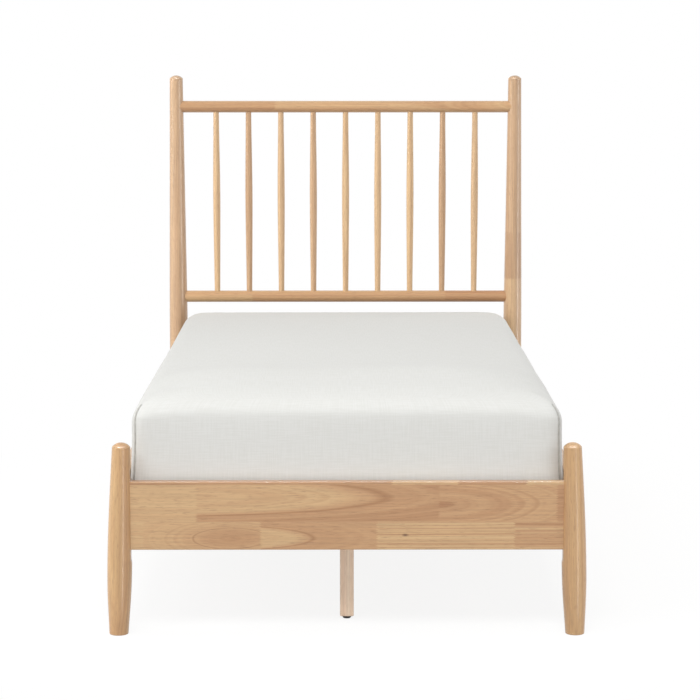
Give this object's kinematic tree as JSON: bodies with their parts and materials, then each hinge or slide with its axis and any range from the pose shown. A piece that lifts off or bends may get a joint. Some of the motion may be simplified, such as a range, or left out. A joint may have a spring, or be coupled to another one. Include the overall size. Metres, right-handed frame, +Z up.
{
  "type": "platform bed",
  "caption": "Single platform bed with a turned-spindle headboard, round tapered posts, a slatted deck with centre legs on screw levellers, and a mattress in a fitted sheet.",
  "frame": {"origin": "on the floor, midway between the four posts", "axes": "+X across the bed to the right seen from the foot end, +Y from the foot end to the headboard, +Z up"},
  "size_m": [1.0829, 2.0061, 1.204],
  "materials": {
    "post_wood": "satin",
    "rail_wood": "satin",
    "spindle_wood": "satin",
    "slat_wood": "matte",
    "support_wood": "matte",
    "dowel_wood": "matte",
    "bracket_steel": "satin",
    "zinc_steel": "satin",
    "black_nylon": "matte",
    "mattress_fabric": "matte",
    "sheet_cotton": "matte"
  },
  "bodies": {
    "frame": {"beam_bracket_foot": "bracket_steel", "beam_bracket_head": "bracket_steel", "bracket_screws": "zinc_steel", "centre_beam": "support_wood", "centre_leg_foot": "support_wood", "centre_leg_head": "support_wood", "centre_leg_middle": "support_wood", "cleat_left": "support_wood", "cleat_right": "support_wood", "cross_rail_dowels": "dowel_wood", "deck_screws": "zinc_steel", "fitted_sheet": "sheet_cotton", "foot_post_left": "post_wood", "foot_post_right": "post_wood", "foot_rail": "rail_wood", "half_moon_washers": "zinc_steel", "head_cross_rail": "rail_wood", "head_lower_rail": "rail_wood", "head_post_left": "post_wood", "head_post_right": "post_wood", "head_spindle_1": "spindle_wood", "head_spindle_2": "spindle_wood", "head_spindle_3": "spindle_wood", "head_spindle_4": "spindle_wood", "head_spindle_5": "spindle_wood", "head_spindle_6": "spindle_wood", "head_spindle_7": "spindle_wood", "head_spindle_8": "spindle_wood", "head_spindle_9": "spindle_wood", "head_top_rail": "rail_wood", "insert_nuts": "zinc_steel", "leg_bolts": "zinc_steel", "mattress": "mattress_fabric", "rail_nuts": "zinc_steel", "rail_studs": "zinc_steel", "side_rail_left": "rail_wood", "side_rail_right": "rail_wood", "slat_1": "slat_wood", "slat_10": "slat_wood", "slat_11": "slat_wood", "slat_12": "slat_wood", "slat_13": "slat_wood", "slat_2": "slat_wood", "slat_3": "slat_wood", "slat_4": "slat_wood", "slat_5": "slat_wood", "slat_6": "slat_wood", "slat_7": "slat_wood", "slat_8": "slat_wood", "slat_9": "slat_wood"},
    "leveller_pad_foot": {"leveller_pad_foot": "black_nylon"},
    "leveller_stud_foot": {"leveller_stud_foot": "zinc_steel"},
    "leveller_pad_middle": {"leveller_pad_middle": "black_nylon"},
    "leveller_stud_middle": {"leveller_stud_middle": "zinc_steel"},
    "leveller_pad_head": {"leveller_pad_head": "black_nylon"},
    "leveller_stud_head": {"leveller_stud_head": "zinc_steel"}
  },
  "joints": [
    {"name": "leveller_pad_foot_travel", "type": "slide", "parent": "frame", "child": "leveller_pad_foot", "axis": [0, 0, 1], "range_m": [-0.012, 0]},
    {"name": "leveller_stud_foot_turn", "type": "hinge", "parent": "leveller_pad_foot", "child": "leveller_stud_foot", "pos_m": [0, -0.835, 0.02], "axis": [0, 0, 1], "range_deg": [-3456, 0]},
    {"name": "leveller_pad_middle_travel", "type": "slide", "parent": "frame", "child": "leveller_pad_middle", "axis": [0, 0, 1], "range_m": [-0.012, 0]},
    {"name": "leveller_stud_middle_turn", "type": "hinge", "parent": "leveller_pad_middle", "child": "leveller_stud_middle", "pos_m": [0, 0, 0.02], "axis": [0, 0, 1], "range_deg": [-3456, 0]},
    {"name": "leveller_pad_head_travel", "type": "slide", "parent": "frame", "child": "leveller_pad_head", "axis": [0, 0, 1], "range_m": [-0.012, 0]},
    {"name": "leveller_stud_head_turn", "type": "hinge", "parent": "leveller_pad_head", "child": "leveller_stud_head", "pos_m": [0, 0.835, 0.02], "axis": [0, 0, 1], "range_deg": [-3456, 0]}
  ],
  "couplings": [
    {"joint": "leveller_stud_foot_turn", "follows": "leveller_pad_foot_travel", "rad_per_m": 5026.5},
    {"joint": "leveller_stud_middle_turn", "follows": "leveller_pad_middle_travel", "rad_per_m": 5026.5},
    {"joint": "leveller_stud_head_turn", "follows": "leveller_pad_head_travel", "rad_per_m": 5026.5}
  ]
}
